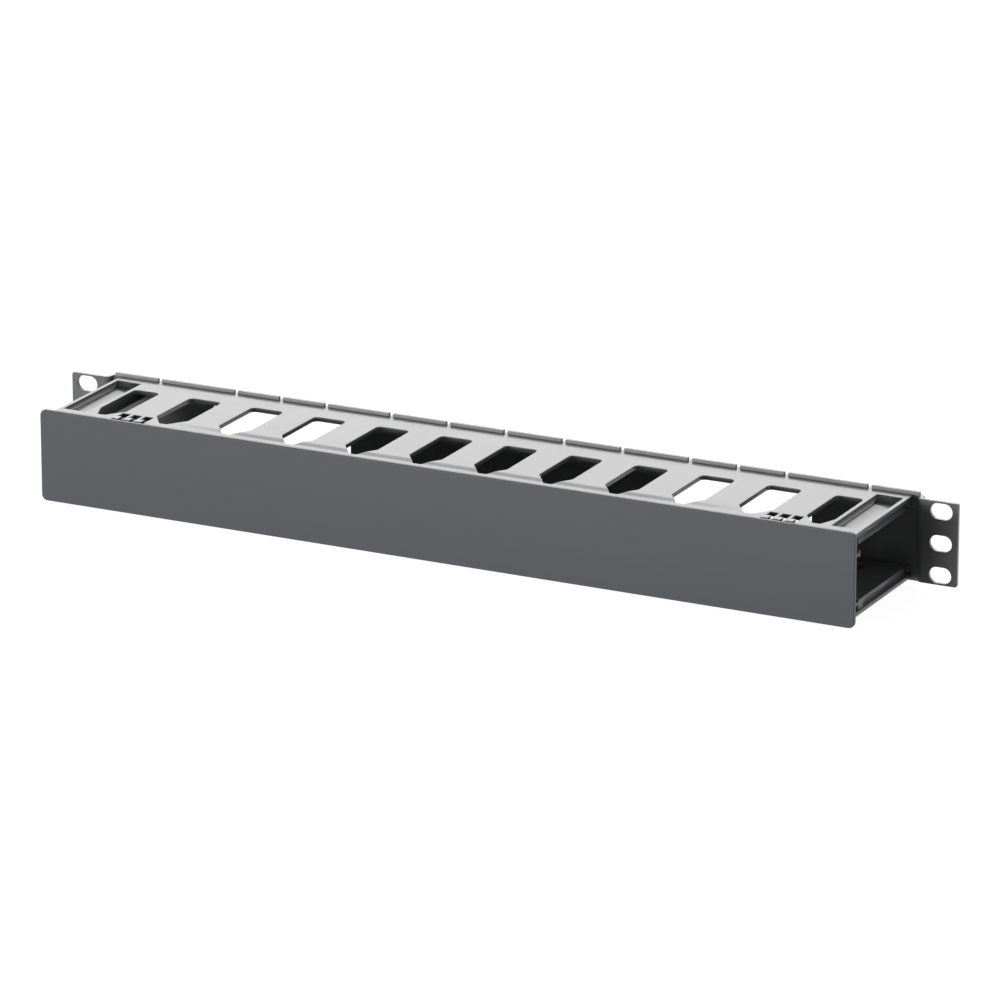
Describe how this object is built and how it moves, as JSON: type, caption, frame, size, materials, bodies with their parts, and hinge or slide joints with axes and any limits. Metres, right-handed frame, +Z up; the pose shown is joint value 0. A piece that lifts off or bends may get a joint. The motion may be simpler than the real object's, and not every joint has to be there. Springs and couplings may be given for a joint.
{
  "type": "horizontal cable manager",
  "caption": "Horizontal cable manager for a 19-inch rack: windowed duct walls on a folded panel with slotted ears, and a hinged front cover.",
  "frame": {"origin": "midway between the two ears and between their upper and lower slots, in the plane where the ears' rear faces meet the rack's rails", "axes": "+X along the rack's width, +Y into the rack, +Z up"},
  "size_m": [0.4826, 0.0791, 0.0468],
  "materials": {
    "panel_paint": "satin dark grey powder coat",
    "duct_plastic": "semi-gloss dark grey moulding",
    "cover_plastic": "fine satin dark grey extrusion",
    "clip_plastic": "plain dark grey moulding"
  },
  "bodies": {
    "duct": {"rack_panel": "panel_paint", "upper_duct_wall": "duct_plastic", "lower_duct_wall": "duct_plastic"},
    "cover": {"front_cover": "cover_plastic", "left_hinge_clip": "clip_plastic", "right_hinge_clip": "clip_plastic"}
  },
  "joints": [
    {"name": "cover_hinge", "type": "hinge", "parent": "duct", "child": "cover", "pos_m": [0, -0.0613, 0.0189], "axis": [-1, 0, 0], "range_deg": [0, 120]}
  ]
}
